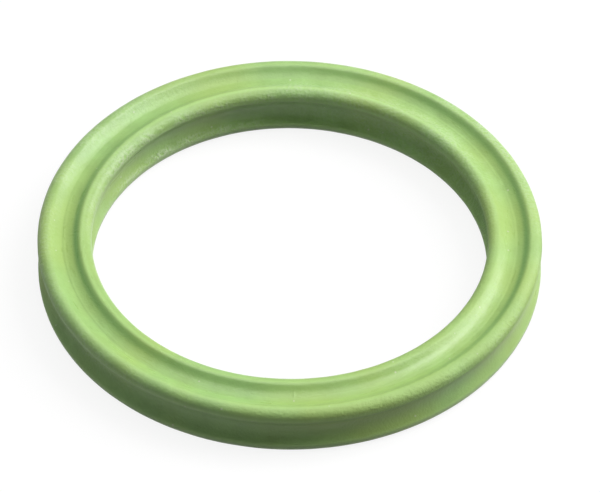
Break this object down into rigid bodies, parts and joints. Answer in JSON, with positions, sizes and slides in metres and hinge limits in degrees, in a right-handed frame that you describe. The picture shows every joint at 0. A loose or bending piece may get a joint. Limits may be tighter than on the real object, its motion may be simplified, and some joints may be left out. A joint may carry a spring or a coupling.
{
  "type": "x-ring",
  "caption": "Moulded rubber x-ring: a sealing ring of square section with a round lobe at each corner and a shallow groove along each side, for rods, pistons and glands.",
  "frame": {"origin": "on the ring's axis, level with the crests of the lower lobes, which it lies on", "axes": "+Z along the ring's axis, upwards from the surface it lies on; X and Y lie in the plane of the ring, and any turn about Z leaves it the same"},
  "size_m": [0.0492, 0.0492, 0.0053],
  "materials": {
    "green_rubber": "satin"
  },
  "bodies": {
    "root": {"x_ring": "green_rubber"}
  },
  "joints": []
}
